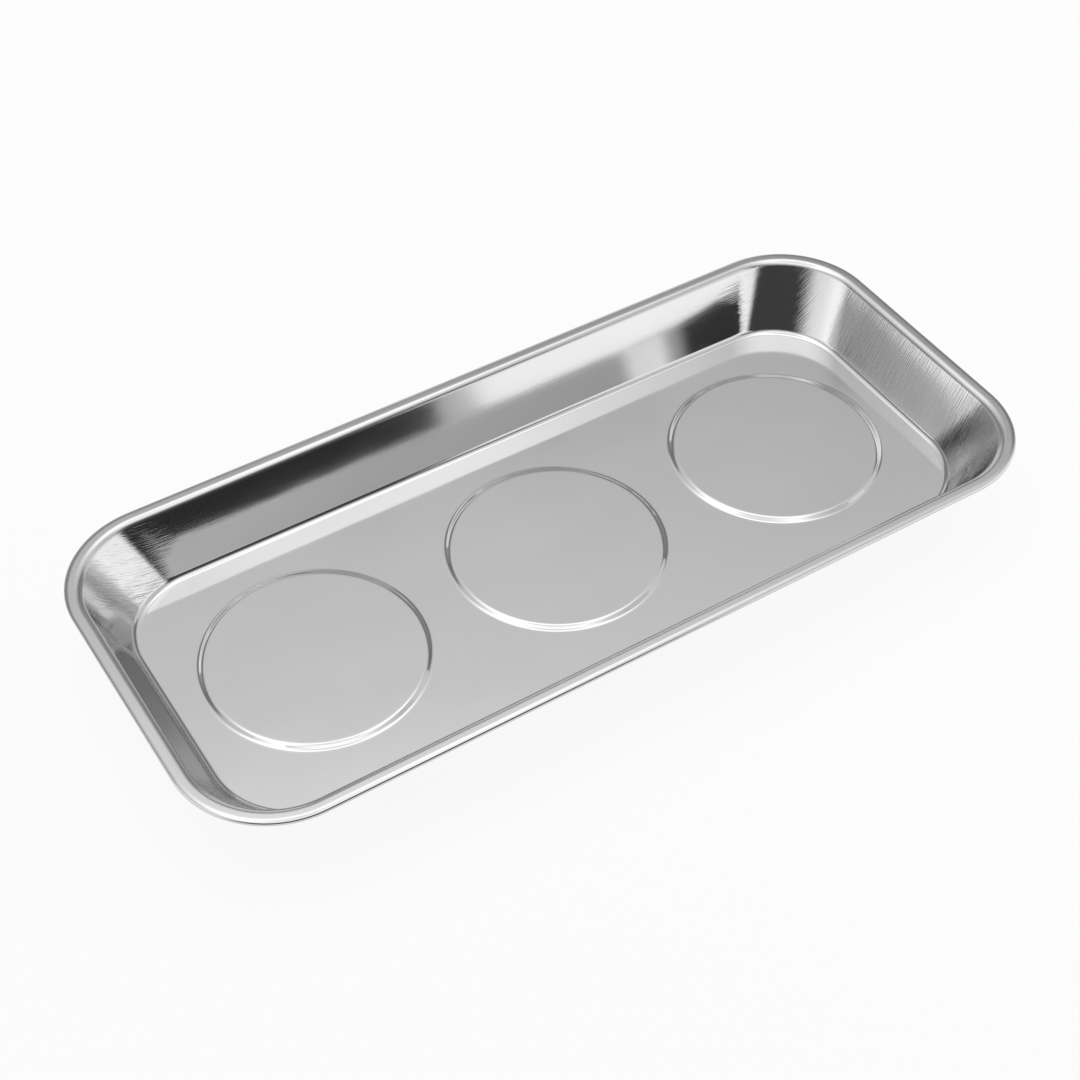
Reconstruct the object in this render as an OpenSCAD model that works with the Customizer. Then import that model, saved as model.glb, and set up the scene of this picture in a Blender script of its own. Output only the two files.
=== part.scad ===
// Magnetic parts tray: a pressed stainless pan that stands on three rubber-booted magnets.
// Millimetres, +Z up. The origin is on the bench, under the middle of the tray.

/* [Pan] */
// Length over the rim
tray_length = 360; // [340:2:460]
// Width over the rim
tray_width = 162; // [146:2:220]
// Height of the rim's top above the floor
tray_depth = 26; // [16:0.5:60]
// Radius of the rim's corners, seen from above
rim_corner = 39; // [30:1:60]
// Width of the rim, from its lip to the top of the wall
rim_width = 5.8; // [5.5:0.1:12]
// How far the walls lean out from floor to rim
wall_lean = 12.5; // [4:0.5:16]
// Radius of the floor's corners, seen from above
floor_corner = 32; // [20:0.5:40]
// Thickness of the sheet
sheet = 0.6; // [0.4:0.1:1]
// Inside radius of the bend between floor and wall
floor_bend = 2.9; // [1:0.1:5]
// Inside radius of the bend along the rim's crest
crest_bend = 2.6; // [0.5:0.1:3]
// Outside radius of the rim's soft outer shoulder
shoulder_radius = 3.5; // [2:0.1:4]
// Angle that the shoulder falls through before the lip
shoulder_angle = 25; // [10:1:35]
// Inside radius of the bend between shoulder and lip
lip_bend = 0.2; // [0.1:0.1:0.8]
// Straight height of the turned-down lip
lip_height = 0.5; // [0.2:0.1:4]

/* [Raised discs] */
// Height of each disc above the floor
disc_rise = 1; // [0.5:0.1:2]
// Width of the slope round each disc
disc_slope = 1.9; // [1:0.1:4]
// Floor left over at each end, outside the equal bays that the discs are centred in
disc_margin = 3.1; // [0:0.1:10]
// Gap round each boot inside the hollow of its disc
hollow_gap = 1.6; // [0.5:0.1:3]

/* [Ring magnets] */
// Outside diameter of each magnet
magnet_diameter = 70; // [56:1:72]
// Bore of each magnet
magnet_bore = 32; // [24:1:40]
// Height of each magnet
magnet_height = 8; // [7:0.5:15]
// Chamfer on a magnet's edges
magnet_chamfer = 0.6; // [0.2:0.1:1.5]

/* [Pole cups] */
// Thickness of a cup's side wall
cup_wall = 1.8; // [1:0.1:3]
// Thickness of a cup's base
cup_base = 2; // [1:0.1:4]
// Outside radius where a cup's base turns down
cup_round = 1.2; // [0.4:0.1:1.8]
// How far a magnet's face sits inside its cup's edge
magnet_recess = 0.4; // [0.1:0.1:1]
// Glue gap between a magnet and its cup
glue_gap = 0.4; // [0.2:0.1:1]

/* [Rubber boots] */
// Thickness of a boot's side wall
boot_wall = 2.4; // [1.5:0.1:4]
// Thickness of the rubber under the cup
boot_sole = 1.2; // [0.8:0.1:3]
// Thickness of the lip that folds over the cup's base
boot_lip = 1; // [0.6:0.1:2]
// Width of that lip
boot_lip_width = 8; // [3:0.5:16]
// Diameter of the window that the nut is reached through
boot_window = 26; // [20:1:32]
// Radius of a boot's lower edge
boot_foot_round = 1; // [0.4:0.1:2]
// Radius of a boot's upper edge
boot_top_round = 0.6; // [0.2:0.1:1]
// Width of the grip grooves in the sole
groove_width = 1.4; // [0.6:0.1:3]
// Depth of the grip grooves in the sole
groove_depth = 0.5; // [0.2:0.1:0.7]
// Gap between a boot and its cup
boot_gap = 0.2; // [0.1:0.1:0.6]

/* [Fasteners] */
// Outside diameter of a stud's thread
thread_diameter = 4.9; // [4:0.1:6]
// Diameter of the flange that is welded to the pan
flange_diameter = 12; // [8:0.5:30]
// How far a stud shows below its nut
stud_tail = 1; // [0.2:0.1:1.8]
// Width of a nut across its flats
nut_width = 8; // [7:0.1:10]
// Height of a nut
nut_height = 4; // [3:0.1:4.5]
// Outside diameter of a spring washer
spring_washer_diameter = 9.2; // [8:0.1:12]
// Thickness of a spring washer
spring_washer_height = 1.2; // [0.8:0.1:1.5]
// Width of the split in a spring washer
spring_washer_split = 0.8; // [0.4:0.1:1.5]
// Outside diameter of a flat washer
flat_washer_diameter = 15; // [10:0.5:20]
// Thickness of a flat washer
flat_washer_height = 1.2; // [0.8:0.1:1.5]
// Gap round the thread inside a nut
thread_gap = 0.1; // [0.05:0.01:0.2]
// Gap round the thread inside a washer
washer_gap = 0.2; // [0.1:0.05:0.5]
// Gap round the thread inside a cup's base
cup_hole_gap = 0.6; // [0.2:0.1:1.5]

/* [Hidden] */
SIDES = ["left", "centre", "right"];
PIECES = [
    "rubber_boot", "pole_cup", "ring_magnet", "weld_stud",
    "flat_washer", "spring_washer", "hex_nut"
];
$fn = 96;

// How far a cut runs past the face that it opens
overrun = 1;
// Steps round a quarter of a corner, round a bend of the sheet, and round a small edge
corner_steps = 12;
bend_steps = 5;
edge_steps = 4;
// Grip grooves in a sole, and the share of the nut's width that its chamfer leaves flat
groove_count = 3;
nut_face_share = 0.95;
// Slope of the chamfer on a nut's corners and on a stud's end
chamfer_angle = 30;
stud_chamfer = 0.6;
// Angle of the split across a spring washer
split_angle = 20;

// Heights of one magnet pod, from the bench up
magnet_z = boot_sole + magnet_recess;
cup_base_z = magnet_z + magnet_height;
cup_top_z = cup_base_z + cup_base;
hollow_z = cup_top_z + boot_lip;
flat_washer_z = cup_base_z - flat_washer_height;
spring_washer_z = flat_washer_z - spring_washer_height;
nut_z = spring_washer_z - nut_height;
stud_z = nut_z - stud_tail;

// Radii of one magnet pod, from the magnet out to the pan
magnet_radius = magnet_diameter / 2;
cup_bore_radius = magnet_radius + glue_gap;
cup_radius = cup_bore_radius + cup_wall;
boot_bore_radius = cup_radius + boot_gap;
boot_radius = boot_bore_radius + boot_wall;
hollow_radius = boot_radius + hollow_gap;
thread_radius = thread_diameter / 2;
cup_hole_radius = thread_radius + cup_hole_gap;
washer_hole_radius = thread_radius + washer_gap;
nut_bore_radius = thread_radius + thread_gap;

// Raised disc: its slope, its top edge and its foot
disc_angle = atan2(disc_rise, disc_slope);
disc_top_radius = hollow_radius + sheet * tan(disc_angle / 2);
disc_foot_radius = disc_top_radius + disc_slope;
disc_run = disc_slope / disc_rise;

// Heights and half sizes of the pan
floor_z = hollow_z + sheet - disc_rise;
floor_half_length = tray_length / 2 - rim_width - wall_lean;
floor_half_width = tray_width / 2 - rim_width - wall_lean;
wall_top_corner = rim_corner - rim_width;
disc_pitch = 2 * (floor_half_length - disc_margin) / len(SIDES);

// Section of the pan, as [outward, up] from the floor's edge: bends, shoulder and lip
wall_angle = atan2(tray_depth, wall_lean);
rim_edge = wall_lean + rim_width;
crest_radius = crest_bend + sheet;
roll_radius = lip_bend + sheet;
floor_bend_centre = [-floor_bend * tan(wall_angle / 2), floor_bend];
crest_centre = [
    wall_lean + crest_radius * tan(wall_angle / 2),
    tray_depth - crest_radius
];
shoulder_reach = shoulder_radius - roll_radius;
shoulder_centre = [
    rim_edge - roll_radius - shoulder_reach * sin(shoulder_angle),
    tray_depth - shoulder_radius
];
roll_centre = shoulder_centre + shoulder_reach * [sin(shoulder_angle), cos(shoulder_angle)];
lip_end = [rim_edge, roll_centre[1] - lip_height];

// Points on an arc from one angle to another
function arc(centre, radius, from, to, steps) = [
    for (i = [0 : steps])
        let (angle = from + (to - from) * i / steps)
        centre + radius * [cos(angle), sin(angle)]
];

// One skin of the sheet; depth is its distance below the upper skin
function after_first(list) = [for (i = [1 : len(list) - 1]) list[i]];
function skin(depth) = concat(
    arc(floor_bend_centre, floor_bend + depth, -90, wall_angle - 90, bend_steps),
    arc(crest_centre, crest_radius - depth, wall_angle + 90, 90, bend_steps),
    arc(shoulder_centre, shoulder_radius - depth, 90, 90 - shoulder_angle, edge_steps),
    after_first(arc(roll_centre, roll_radius - depth, 90 - shoulder_angle, 0, edge_steps)),
    [lip_end - [depth, 0]]
);

// Both skins as one loop, from the floor's upper face round the lip to its lower face
function reversed(list) = [for (i = [len(list) - 1 : -1 : 0]) list[i]];
sheet_loop = concat(skin(0), reversed(skin(sheet)));

// Corner radius of the tray at a distance outside the floor's edge
function corner_at(outward) = outward <= wall_lean
    ? floor_corner + (wall_top_corner - floor_corner) * outward / wall_lean
    : wall_top_corner + outward - wall_lean;

// Rounded rectangle round the tray, through one point of the section
function outline(point) =
    let (
        radius = corner_at(point[0]),
        length = floor_half_length + point[0] - radius,
        width = floor_half_width + point[0] - radius,
        middles = [[length, width], [-length, width], [-length, -width], [length, -width]]
    )
    [for (corner = [0 : 3]) for (i = [0 : corner_steps])
        let (
            angle = 90 * (corner + i / corner_steps),
            place = middles[corner] + radius * [cos(angle), sin(angle)]
        )
        [place[0], place[1], floor_z + point[1]]
    ];

// Pan without its discs: the section's loop carried round the tray, closed by the floor's two faces
module pan_sheet() {
    ring = 4 * (corner_steps + 1);
    rings = len(sheet_loop);
    last = (rings - 1) * ring;
    points = [for (point = sheet_loop) each outline(point)];
    sides = [
        for (k = [0 : rings - 2]) for (i = [0 : ring - 1])
            let (
                a = k * ring + i,
                b = k * ring + (i + 1) % ring,
                c = a + ring,
                d = b + ring
            )
            each [[a, b, d], [a, d, c]]
    ];
    upper_floor = [for (i = [ring - 1 : -1 : 0]) i];
    lower_floor = [for (i = [0 : ring - 1]) last + i];
    polyhedron(points = points, faces = concat([upper_floor], sides, [lower_floor]));
}

// Solid of one raised disc; its foot is sunk half way into the sheet
module disc_boss() {
    sink = sheet / 2;
    translate([0, 0, floor_z - sink])
        cylinder(
            h = disc_rise + sink,
            r1 = disc_foot_radius + sink * disc_run,
            r2 = disc_top_radius
        );
}

// Hollow under one raised disc, which leaves the sheet's thickness
module disc_hollow() {
    reach = disc_rise + overrun;
    translate([0, 0, hollow_z - reach])
        cylinder(h = reach, r1 = hollow_radius + reach * disc_run, r2 = hollow_radius);
}

// Puts a piece under the left, centre or right disc
module at_disc(index) {
    translate([(index - 1) * disc_pitch, 0, 0])
        children();
}

module tray_pan() {
    color("#bebec0")
        difference() {
            union() {
                pan_sheet();
                for (index = [0 : len(SIDES) - 1])
                    at_disc(index)
                        disc_boss();
            }
            for (index = [0 : len(SIDES) - 1])
                at_disc(index)
                    disc_hollow();
        }
}

module rubber_boot() {
    window_radius = boot_window / 2;
    lip_radius = boot_radius - boot_lip_width;
    foot_centre = [boot_radius - boot_foot_round, boot_foot_round];
    top_centre = [boot_radius - boot_top_round, hollow_z - boot_top_round];
    groove_step = (boot_radius - window_radius) / (groove_count + 1);
    section = concat(
        [[window_radius, 0]],
        arc(foot_centre, boot_foot_round, -90, 0, edge_steps),
        arc(top_centre, boot_top_round, 0, 90, edge_steps),
        [
            [lip_radius, hollow_z],
            [lip_radius, cup_top_z],
            [boot_bore_radius, cup_top_z],
            [boot_bore_radius, boot_sole],
            [window_radius, boot_sole]
        ]
    );
    color("#222222")
        rotate_extrude()
            difference() {
                polygon(section);
                for (i = [1 : groove_count])
                    translate([window_radius + i * groove_step - groove_width / 2, -overrun])
                        square([groove_width, groove_depth + overrun]);
            }
}

module pole_cup() {
    turn_centre = [cup_radius - cup_round, cup_top_z - cup_round];
    section = concat(
        [
            [cup_hole_radius, cup_base_z],
            [cup_bore_radius, cup_base_z],
            [cup_bore_radius, boot_sole],
            [cup_radius, boot_sole]
        ],
        arc(turn_centre, cup_round, 0, 90, edge_steps),
        [[cup_hole_radius, cup_top_z]]
    );
    color("#b9bcbf")
        rotate_extrude()
            polygon(section);
}

module ring_magnet() {
    bore_radius = magnet_bore / 2;
    section = [
        [bore_radius, magnet_z + magnet_chamfer],
        [bore_radius + magnet_chamfer, magnet_z],
        [magnet_radius - magnet_chamfer, magnet_z],
        [magnet_radius, magnet_z + magnet_chamfer],
        [magnet_radius, cup_base_z - magnet_chamfer],
        [magnet_radius - magnet_chamfer, cup_base_z],
        [bore_radius + magnet_chamfer, cup_base_z],
        [bore_radius, cup_base_z - magnet_chamfer]
    ];
    color("#3a3a3c")
        rotate_extrude()
            polygon(section);
}

module weld_stud() {
    flange_radius = flange_diameter / 2;
    section = [
        [0, stud_z],
        [thread_radius - stud_chamfer, stud_z],
        [thread_radius, stud_z + stud_chamfer],
        [thread_radius, cup_top_z],
        [flange_radius, cup_top_z],
        [flange_radius, hollow_z],
        [0, hollow_z]
    ];
    color("#b5b4ad")
        rotate_extrude()
            polygon(section);
}

module flat_washer() {
    color("#c3c4c2")
        translate([0, 0, flat_washer_z])
            difference() {
                cylinder(h = flat_washer_height, d = flat_washer_diameter);
                translate([0, 0, -overrun])
                    cylinder(h = flat_washer_height + 2 * overrun, r = washer_hole_radius);
            }
}

module spring_washer() {
    reach = spring_washer_diameter / 2 + overrun;
    tall = spring_washer_height + 2 * overrun;
    color("#a9abab")
        translate([0, 0, spring_washer_z])
            difference() {
                cylinder(h = spring_washer_height, d = spring_washer_diameter);
                translate([0, 0, -overrun])
                    cylinder(h = tall, r = washer_hole_radius);
                translate([0, 0, spring_washer_height / 2])
                    rotate([split_angle, 0, 0])
                        translate([0, -spring_washer_split / 2, -tall])
                            cube([reach, spring_washer_split, 2 * tall]);
            }
}

module hex_nut() {
    corner_radius = nut_width / 2 / cos(180 / 6);
    face_radius = nut_width / 2 * nut_face_share;
    chamfer = (corner_radius - face_radius) * tan(chamfer_angle);
    limit = [
        [0, 0],
        [face_radius, 0],
        [corner_radius, chamfer],
        [corner_radius, nut_height - chamfer],
        [face_radius, nut_height],
        [0, nut_height]
    ];
    color("#bfc1c2")
        translate([0, 0, nut_z])
            difference() {
                intersection() {
                    cylinder(h = nut_height, r = corner_radius, $fn = 6);
                    rotate_extrude()
                        polygon(limit);
                }
                translate([0, 0, -overrun])
                    cylinder(h = nut_height + 2 * overrun, r = nut_bore_radius);
            }
}

tray_pan();
for (index = [0 : len(SIDES) - 1]) {
    side = SIDES[index];
    at_disc(index) rubber_boot();
    at_disc(index) pole_cup();
    at_disc(index) ring_magnet();
    at_disc(index) weld_stud();
    at_disc(index) flat_washer();
    at_disc(index) spring_washer();
    at_disc(index) hex_nut();
}
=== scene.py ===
# %% [markdown]
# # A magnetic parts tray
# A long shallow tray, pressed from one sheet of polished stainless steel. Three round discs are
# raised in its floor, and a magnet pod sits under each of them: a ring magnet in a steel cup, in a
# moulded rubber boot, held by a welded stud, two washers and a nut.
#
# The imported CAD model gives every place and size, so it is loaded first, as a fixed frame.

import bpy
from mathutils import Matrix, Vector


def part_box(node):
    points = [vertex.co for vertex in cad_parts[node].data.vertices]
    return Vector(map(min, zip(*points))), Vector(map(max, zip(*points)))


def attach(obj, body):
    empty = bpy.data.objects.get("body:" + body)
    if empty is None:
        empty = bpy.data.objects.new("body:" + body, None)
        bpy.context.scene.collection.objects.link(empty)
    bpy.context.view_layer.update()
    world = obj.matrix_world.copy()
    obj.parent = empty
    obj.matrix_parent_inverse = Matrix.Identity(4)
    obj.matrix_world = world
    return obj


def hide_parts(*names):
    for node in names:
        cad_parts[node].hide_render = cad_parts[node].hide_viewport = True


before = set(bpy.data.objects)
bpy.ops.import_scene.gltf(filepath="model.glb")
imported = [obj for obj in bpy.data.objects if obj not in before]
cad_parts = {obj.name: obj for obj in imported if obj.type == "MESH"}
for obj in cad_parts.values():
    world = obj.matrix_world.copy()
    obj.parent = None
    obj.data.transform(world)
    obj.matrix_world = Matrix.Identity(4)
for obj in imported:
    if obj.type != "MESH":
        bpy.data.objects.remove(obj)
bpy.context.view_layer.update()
print("CAD nodes:", len(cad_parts))

# %% [markdown]
# Blender works in metres here and the tray is drawn in millimetres, so one value turns the one into
# the other. The middle of each boot says where its disc and its pod are.

# %% Units and the places of the pods
import math

import bmesh
import bpy
from mathutils import Vector

MM = 0.001
SIDES = ("left", "centre", "right")


def pod_place(side):
    """How far along the tray the pod on this side stands."""
    low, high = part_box(side + "_rubber_boot")
    return (low.x + high.x) / 2


pod_x = {side: pod_place(side) for side in SIDES}
print("pods at", {side: round(x / MM, 2) for side, x in pod_x.items()}, "mm")

# %% [markdown]
# ## The camera
# The view is the photograph's: from the front left, well above the tray. The angles, the distance
# and the lens were found by laying the tray's outline over the picture until both agreed.

# %% Camera
CAMERA_AZIMUTH = math.radians(-32.138)
CAMERA_ELEVATION = math.radians(46.606)
CAMERA_DISTANCE = 778.629 * MM
CAMERA_TARGET = Vector((-3.635, 6.248, 12.2)) * MM
CAMERA_LENS = 66.37

away = Vector((
    math.sin(CAMERA_AZIMUTH) * math.cos(CAMERA_ELEVATION),
    -math.cos(CAMERA_AZIMUTH) * math.cos(CAMERA_ELEVATION),
    math.sin(CAMERA_ELEVATION),
))
camera = bpy.data.objects.new("camera", bpy.data.cameras.new("camera"))
bpy.context.scene.collection.objects.link(camera)
camera.data.lens = CAMERA_LENS
camera.location = CAMERA_TARGET + away * CAMERA_DISTANCE
camera.rotation_mode = "QUATERNION"
camera.rotation_quaternion = (-away).to_track_quat("-Z", "Y")
bpy.context.scene.camera = camera
bpy.context.scene.view_settings.view_transform = "Standard"
print("camera at", [round(c, 3) for c in camera.location])

# %% [markdown]
# ## Nodes
# Every finish is a small tree of nodes. One function adds a node, sets it and links it, and another
# turns a colour as a paint program shows it into the linear values that the nodes work with.
#
# A mix node has sockets of the same name for numbers, vectors and colours. Those for colours go by
# their number.

# %% Node and colour helpers
MIX_SHARE = 0
FIRST_COLOUR = 6
SECOND_COLOUR = 7
MIXED_COLOUR = 2


def srgb(colour):
    """Turns an sRGB hex colour into linear red, green, blue and alpha."""
    shares = [int(colour[start:start + 2], 16) / 255 for start in (1, 3, 5)]
    linear = [s / 12.92 if s <= 0.04045 else ((s + 0.055) / 1.055) ** 2.4 for s in shares]
    return (*linear, 1.0)


def add_node(tree, kind, settings=None, links=None):
    """Adds one node to a tree, sets its properties and sockets, and links its inputs."""
    node = tree.nodes.new(kind)
    for name, value in (settings or {}).items():
        if isinstance(name, str) and hasattr(node, name):
            setattr(node, name, value)
        else:
            node.inputs[name].default_value = value
    for socket, source in (links or {}).items():
        tree.links.new(source, node.inputs[socket])
    return node


def start_material(name):
    """A new material with an empty node tree."""
    material = bpy.data.materials.new(name)
    material.use_nodes = True
    material.node_tree.nodes.clear()
    return material


# %% [markdown]
# ## Modelling helpers
# An operator works on whatever is selected, so each step first selects faces, edges or points by
# where they are. Two lengths count as equal within a fiftieth of a millimetre.

# %% Selecting
CLOSE_ENOUGH = 0.02 * MM


def deselect_all():
    """Leaves edit mode and deselects every object."""
    if bpy.context.mode != "OBJECT":
        bpy.ops.object.mode_set(mode="OBJECT")
    bpy.ops.object.select_all(action="DESELECT")


def activate(piece):
    """Makes one piece the only selected one, for the next operator."""
    deselect_all()
    piece.select_set(True)
    bpy.context.view_layer.objects.active = piece


def edit(piece):
    """Opens one piece in edit mode."""
    activate(piece)
    bpy.ops.object.mode_set(mode="EDIT")


def pick(kind, test):
    """Selects the points, edges or faces that pass a test, and counts them."""
    mesh = bpy.context.edit_object.data
    bpy.ops.mesh.select_mode(type=kind)
    bpy.ops.mesh.select_all(action="DESELECT")
    shape = bmesh.from_edit_mesh(mesh)
    shape.normal_update()
    parts = {"VERT": shape.verts, "EDGE": shape.edges, "FACE": shape.faces}[kind]
    chosen = [part for part in parts if test(part)]
    for part in chosen:
        part.select_set(True)
    shape.select_flush_mode()
    bmesh.update_edit_mesh(mesh)
    return len(chosen)


def near(value, target, within=CLOSE_ENOUGH):
    """True where two values are close enough to count as equal."""
    return abs(value - target) < within


def level(edge, height):
    """True for an edge that lies flat at this height."""
    return all(near(vert.co.z, height) for vert in edge.verts)


def is_open(edge):
    """True for an edge with a face on one side only."""
    return edge.is_boundary


def extrude_up(height):
    """Extrudes the selected edges upwards, or downwards if the height is negative."""
    bpy.ops.mesh.extrude_edges_move(TRANSFORM_OT_translate={"value": (0, 0, height)})


# %% [markdown]
# Every piece ends the same way. Points that meet are merged, all faces are turned outwards, and the
# shading is smooth except over sharp edges.

# %% Finishing a mesh
MERGE = 0.002 * MM
SMOOTH_ANGLE = math.radians(35)


def merge_points(within=MERGE):
    """Merges points that meet, and turns every face outwards."""
    bpy.ops.mesh.select_all(action="SELECT")
    bpy.ops.mesh.remove_doubles(threshold=within)
    bpy.ops.mesh.normals_make_consistent(inside=False)


def shade(angle=SMOOTH_ANGLE):
    """Leaves edit mode and shades smoothly wherever faces meet at less than this angle."""
    bpy.ops.object.mode_set(mode="OBJECT")
    bpy.ops.object.shade_smooth_by_angle(angle=angle)


def apply_modifier(piece, kind, settings):
    """Adds a modifier with these settings and applies it."""
    activate(piece)
    modifier = piece.modifiers.new(kind.lower(), kind)
    for name, value in settings.items():
        setattr(modifier, name, value)
    bpy.ops.object.modifier_apply(modifier=modifier.name)


# %% [markdown]
# ## The pan
# The real pan is one sheet, pressed in a die: a flat floor, walls that lean out, a narrow flat rim,
# and a lip turned down so that the edge doesn't cut. It could be lofted from curves, but folding a
# flat outline outwards, as the press does, keeps every fold a clean loop of edges that can be
# rounded afterwards with its own bending radius.
#
# The frame gives the rim's outline, its height and the height of the discs. The rest are the sheet's
# own dimensions.

# %% The pan's dimensions
SHEET = 0.6 * MM
DISC_RISE = 1.0 * MM
RIM_WIDTH = 5.8 * MM
WALL_LEAN = 12.5 * MM
FLOOR_CORNER = 32.0 * MM
WALL_TOP_CORNER = 33.2 * MM
RIM_CORNER = 39.0 * MM
FLOOR_BEND = 2.9 * MM
CREST_BEND = 3.2 * MM
SHOULDER_BEND = 3.5 * MM
SHOULDER_TURN = math.radians(25)
ROLL_BEND = 0.75 * MM
ROLL_ROOM = 0.8 * MM
LIP_DROP = 1.01 * MM
CORNER_STEPS = 32

pan_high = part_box("tray_pan")[1]
boot_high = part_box("centre_rubber_boot")[1]
rim_z = pan_high.z
disc_z = boot_high.z + SHEET
floor_z = disc_z - DISC_RISE
wall_height = rim_z - floor_z
floor_half = Vector((pan_high.x, pan_high.y)) - Vector((1, 1)) * (RIM_WIDTH + WALL_LEAN)
print("floor at", round(floor_z / MM, 2), "mm, rim at", round(rim_z / MM, 2), "mm")

# %% [markdown]
# The outline starts as a plane of the floor's size, and a bevel of its four points gives the round
# corners. Each fold then extrudes the open edge. The corners need a hand: on the way out their
# radius grows, so each corner is scaled about its own middle and slid outwards.
#
# The rim slopes down before its edge rolls over. The slope is just wide enough for the two arcs that
# start and end it.

# %% Floor outline and folds
CORNERS = ((-1, -1), (-1, 1), (1, -1), (1, 1))

deselect_all()
bpy.ops.mesh.primitive_plane_add(size=2, enter_editmode=True)
pan = bpy.context.object
pan.name = "stainless_pan"
bpy.ops.transform.resize(value=(floor_half.x, floor_half.y, 1))
bpy.ops.transform.translate(value=(0, 0, floor_z))
bpy.ops.mesh.bevel(offset=FLOOR_CORNER, segments=CORNER_STEPS, affect="VERTICES")


def fold(outward, up, corner):
    """Extrudes the open edge by one fold, to a new corner radius."""
    pick("EDGE", is_open)
    extrude_up(up)
    shape = bmesh.from_edit_mesh(bpy.context.edit_object.data)
    shape.verts.index_update()
    ring = {vert.index: vert.co.copy() for vert in shape.verts if vert.select}
    for side_x, side_y in CORNERS:
        spots = {
            index: spot for index, spot in ring.items()
            if spot.x * side_x > 0 and spot.y * side_y > 0}
        reach_x = [abs(spot.x) for spot in spots.values()]
        reach_y = [abs(spot.y) for spot in spots.values()]
        middle = Vector((side_x * min(reach_x), side_y * min(reach_y), 0))
        radius = max(reach_x) - min(reach_x)
        grow = corner / radius
        slide = outward - (corner - radius)
        pick("VERT", lambda vert: vert.index in spots)
        bpy.ops.transform.resize(value=(grow, grow, 1), center_override=middle)
        bpy.ops.transform.translate(value=(side_x * slide, side_y * slide, 0))


roll_turn = math.pi / 2 - SHOULDER_TURN
shoulder_reach = SHOULDER_BEND * math.tan(SHOULDER_TURN / 2)
roll_reach = ROLL_ROOM * math.tan(roll_turn / 2)
slant = (shoulder_reach + roll_reach) * math.cos(SHOULDER_TURN)
slant_drop = slant * math.tan(SHOULDER_TURN)

fold(WALL_LEAN, wall_height, WALL_TOP_CORNER)
fold(RIM_WIDTH - slant, 0, RIM_CORNER - slant)
fold(slant, -slant_drop, RIM_CORNER)
fold(0, -LIP_DROP, RIM_CORNER)
print("folded edges:", pick("EDGE", is_open))

# %% [markdown]
# Sheet metal can't turn a sharp corner. Each fold line is now bevelled into an arc. A bevel is told
# how far the arc starts from the fold, which is the bending radius times the tangent of half the
# turn. The outermost folds go first, because they are the closest together. The shoulder's arc is
# drawn a hundredth too small, so that it can't run into the roll's.

# %% Round the folds
FOLD_STEPS = 12
NARROW_FOLD_STEPS = 5
SHOULDER_EASE = 0.99
SLOPE_ROOM = 0.06

wall_turn = math.atan2(wall_height, WALL_LEAN)


def is_wall(face):
    """True for a face of the tall leaning wall."""
    heights = [vert.co.z for vert in face.verts]
    return max(heights) - min(heights) > wall_height / 2


def on_crest(edge):
    """True for the fold between the wall and the rim."""
    return level(edge, rim_z) and any(is_wall(face) for face in edge.link_faces)


def on_shoulder(edge):
    """True for the fold where the rim starts to slope down."""
    slope = math.cos(SHOULDER_TURN)
    return level(edge, rim_z) and any(
        near(face.normal.z, slope, SLOPE_ROOM) for face in edge.link_faces)


def round_fold(name, test, radius, turn, steps):
    """Bevels one loop of fold lines to an arc of the given radius."""
    count = pick("EDGE", test)
    reach = radius * math.tan(turn / 2)
    bpy.ops.mesh.bevel(offset=reach, segments=steps, affect="EDGES", clamp_overlap=False)
    print(name, "fold:", count, "edges,", round(reach / MM, 2), "mm each way")


round_fold(
    "roll", lambda edge: level(edge, rim_z - slant_drop), ROLL_BEND, roll_turn, NARROW_FOLD_STEPS)
round_fold(
    "shoulder", on_shoulder, SHOULDER_BEND * SHOULDER_EASE, SHOULDER_TURN, NARROW_FOLD_STEPS)
round_fold("crest", on_crest, CREST_BEND, wall_turn, FOLD_STEPS)
round_fold("floor", lambda edge: level(edge, floor_z), FLOOR_BEND, wall_turn, FOLD_STEPS)

# %% [markdown]
# Smooth shading averages the normals at every point, so a flat face next to an arc would look
# slightly domed. A narrow inset just inside each flat face stops that: the average then happens in
# the inset. The straight runs are cut near the corners for the same reason.

# %% Keep the flat faces flat
INSET = 0.35 * MM
STRAIGHT_END = Vector((126, 27)) * MM
LENGTH_CUTS = (-1, -0.5, 0, 0.5, 1)
WIDTH_CUTS = (-1, 0, 1)
LEVEL_NORMAL = 0.9999


def lies_flat(face, height):
    """True for a flat face at this height that looks up."""
    return face.normal.z > LEVEL_NORMAL and near(face.calc_center_median().z, height)


def cut(place, normal):
    """Cuts the whole mesh along a plane."""
    bpy.ops.mesh.select_all(action="SELECT")
    bpy.ops.mesh.bisect(plane_co=place, plane_no=normal)


pick("FACE", lambda face: lies_flat(face, floor_z))
bpy.ops.mesh.inset(thickness=INSET)
bpy.ops.mesh.delete(type="ONLY_FACE")
for share in LENGTH_CUTS:
    cut((share * STRAIGHT_END.x, 0, 0), (1, 0, 0))
for share in WIDTH_CUTS:
    cut((0, share * STRAIGHT_END.y, 0), (0, 1, 0))
print("wall faces:", pick("FACE", is_wall))
bpy.ops.mesh.inset(thickness=INSET)
print("rim faces:", pick("FACE", lambda face: lies_flat(face, rim_z)))
bpy.ops.mesh.inset(thickness=INSET)

# %% [markdown]
# The three discs are pressed up from the floor by one millimetre, over a soft step. Each starts as a
# circle on the floor that is extruded inwards: a flat ring, the step, and a flat ring on top that is
# then filled.

# %% Raised discs
DISC_FOOT = 43.45 * MM
DISC_TOP = 41.55 * MM
DISC_STEPS = 144
FLAT_RING = 1.6 * MM


def draw_in(radius, new_radius, up, middle):
    """Extrudes the selected circle to a new radius and height."""
    extrude_up(up)
    size = new_radius / radius
    bpy.ops.transform.resize(value=(size, size, 1), center_override=middle)


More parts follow.
